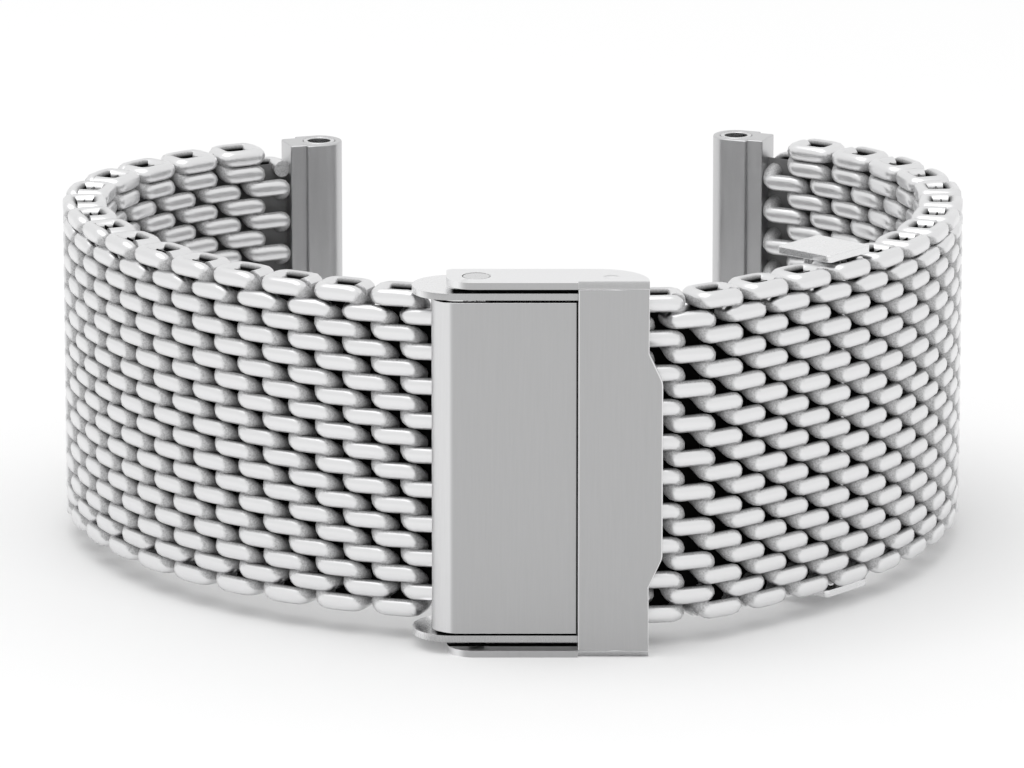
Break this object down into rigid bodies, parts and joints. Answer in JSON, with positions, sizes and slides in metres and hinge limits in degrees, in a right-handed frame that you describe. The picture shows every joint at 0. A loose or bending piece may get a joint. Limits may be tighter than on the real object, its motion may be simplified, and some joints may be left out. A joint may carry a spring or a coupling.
{
  "type": "milanese mesh watch band",
  "caption": "Woven steel mesh watch band standing on its edge, with a fold-over clasp, a safety catch and tubes for spring bars.",
  "frame": {"origin": "centre of the band's outline on the surface that it stands on", "axes": "+X along the clasp towards the catch's lift tab, +Y from the clasp towards the wrist and the watch, +Z along the band's width"},
  "size_m": [0.0612, 0.052, 0.0251],
  "materials": {
    "mesh_steel": "polished wire",
    "polished_steel": "polished",
    "satin_steel": "satin",
    "pin_steel": "turned"
  },
  "bodies": {
    "wrist_blade": {"lower_blade": "satin_steel", "size_bracket": "polished_steel", "sizing_pin": "pin_steel", "bracket_pin": "pin_steel", "right_mesh_1": "mesh_steel"},
    "upper_blade": {"upper_blade": "satin_steel", "lower_hinge_pin": "pin_steel"},
    "frame": {"clasp_frame": "polished_steel", "cover_plate": "satin_steel", "catch_rivets": "pin_steel", "upper_hinge_pin": "pin_steel", "link_pin": "pin_steel"},
    "catch": {"safety_catch": "polished_steel"},
    "left_1": {"left_mesh_1": "mesh_steel"},
    "left_2": {"left_mesh_2": "mesh_steel"},
    "left_3": {"left_mesh_3": "mesh_steel"},
    "left_4": {"left_mesh_4": "mesh_steel"},
    "left_5": {"left_mesh_5": "mesh_steel", "left_end_piece": "polished_steel", "left_bar_tube": "pin_steel"},
    "right_2": {"right_mesh_2": "mesh_steel"},
    "right_3": {"right_mesh_3": "mesh_steel"},
    "right_4": {"right_mesh_4": "mesh_steel"},
    "right_5": {"right_mesh_5": "mesh_steel", "right_end_piece": "polished_steel", "right_bar_tube": "pin_steel"}
  },
  "joints": [
    {"name": "fold_lower", "type": "hinge", "parent": "wrist_blade", "child": "upper_blade", "pos_m": [-0.00268, -0.02421, 0.01253], "axis": [0, 0, -1], "range_deg": [0, 165]},
    {"name": "fold_upper", "type": "hinge", "parent": "upper_blade", "child": "frame", "pos_m": [0.00752, -0.02421, 0.01253], "axis": [0, 0, -1], "range_deg": [-165, 0]},
    {"name": "catch_flip", "type": "hinge", "parent": "frame", "child": "catch", "pos_m": [-0.00238, -0.02401, 0.01253], "axis": [0, 0, -1], "range_deg": [0, 150]},
    {"name": "left_link", "type": "hinge", "parent": "frame", "child": "left_1", "pos_m": [-0.00494, -0.02091, 0.01253], "axis": [0, 0, -1], "range_deg": [-12, 5]},
    {"name": "left_flex_1", "type": "hinge", "parent": "left_1", "child": "left_2", "pos_m": [-0.01688, -0.01558, 0.01253], "axis": [0, 0, -1], "range_deg": [-12, 5]},
    {"name": "left_flex_2", "type": "hinge", "parent": "left_2", "child": "left_3", "pos_m": [-0.0248, -0.00706, 0.01253], "axis": [0, 0, -1], "range_deg": [-12, 5]},
    {"name": "left_flex_3", "type": "hinge", "parent": "left_3", "child": "left_4", "pos_m": [-0.02896, 0.0038, 0.01253], "axis": [0, 0, -1], "range_deg": [-12, 5]},
    {"name": "left_flex_4", "type": "hinge", "parent": "left_4", "child": "left_5", "pos_m": [-0.02598, 0.01479, 0.01253], "axis": [0, 0, -1], "range_deg": [-12, 5]},
    {"name": "right_flex_1", "type": "hinge", "parent": "wrist_blade", "child": "right_2", "pos_m": [0.0234, -0.01048, 0.01253], "axis": [0, 0, 1], "range_deg": [-12, 5]},
    {"name": "right_flex_2", "type": "hinge", "parent": "right_2", "child": "right_3", "pos_m": [0.02772, -0.00179, 0.01253], "axis": [0, 0, 1], "range_deg": [-12, 5]},
    {"name": "right_flex_3", "type": "hinge", "parent": "right_3", "child": "right_4", "pos_m": [0.02905, 0.00782, 0.01253], "axis": [0, 0, 1], "range_deg": [-12, 5]},
    {"name": "right_flex_4", "type": "hinge", "parent": "right_4", "child": "right_5", "pos_m": [0.02596, 0.01694, 0.01253], "axis": [0, 0, 1], "range_deg": [-12, 5]}
  ],
  "couplings": [
    {"joint": "fold_upper", "follows": "fold_lower", "ratio": -1}
  ]
}
